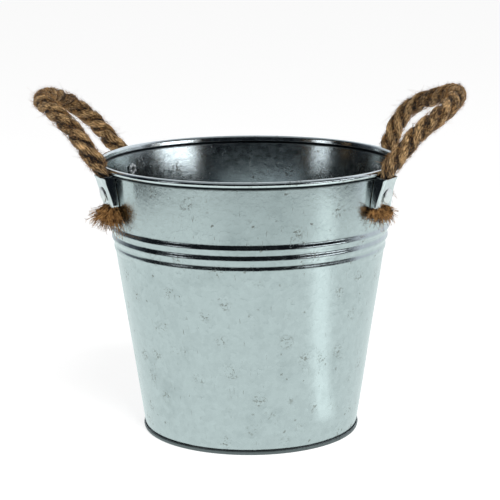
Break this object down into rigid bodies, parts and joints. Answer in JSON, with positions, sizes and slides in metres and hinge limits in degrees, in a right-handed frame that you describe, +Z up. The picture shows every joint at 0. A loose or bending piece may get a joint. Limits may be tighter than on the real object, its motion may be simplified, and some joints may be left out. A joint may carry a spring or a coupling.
{
  "type": "florist bucket",
  "caption": "Tapered galvanised steel flower bucket with a rolled rim, swaged beads, a hooked base seam and short jute rope handles held in riveted sheet clips.",
  "frame": {"origin": "centre of the bucket's foot, on the floor", "axes": "+Z up through the mouth; the rope handles stand on -X and +X"},
  "size_m": [0.2826, 0.2, 0.2289],
  "materials": {
    "galvanised_wall": "hot-dip galvanised sheet, soft sheen with faint spangle",
    "galvanised_base": "hot-dip galvanised sheet",
    "clip_steel": "bright zinc-plated sheet",
    "rivet_steel": "bright zinc-plated tubular rivet",
    "jute_rope": "three-strand laid jute, fuzzy"
  },
  "bodies": {
    "bucket": {"bucket_wall": "galvanised_wall", "base_pan": "galvanised_base", "clip_left_front": "clip_steel", "clip_left_back": "clip_steel", "clip_right_front": "clip_steel", "clip_right_back": "clip_steel", "rivet_left_front": "rivet_steel", "rivet_left_back": "rivet_steel", "rivet_right_front": "rivet_steel", "rivet_right_back": "rivet_steel", "rope_end_left_front": "jute_rope", "rope_end_left_back": "jute_rope", "rope_end_right_front": "jute_rope", "rope_end_right_back": "jute_rope"},
    "left_handle": {"rope_loop_left": "jute_rope"},
    "right_handle": {"rope_loop_right": "jute_rope"}
  },
  "joints": [
    {"name": "left_handle_swing", "type": "hinge", "parent": "bucket", "child": "left_handle", "pos_m": [-0.09518, 0, 0.186], "axis": [0, -1, 0], "range_deg": [-98, 70]},
    {"name": "right_handle_swing", "type": "hinge", "parent": "bucket", "child": "right_handle", "pos_m": [0.09518, 0, 0.186], "axis": [0, 1, 0], "range_deg": [-76, 70]}
  ]
}
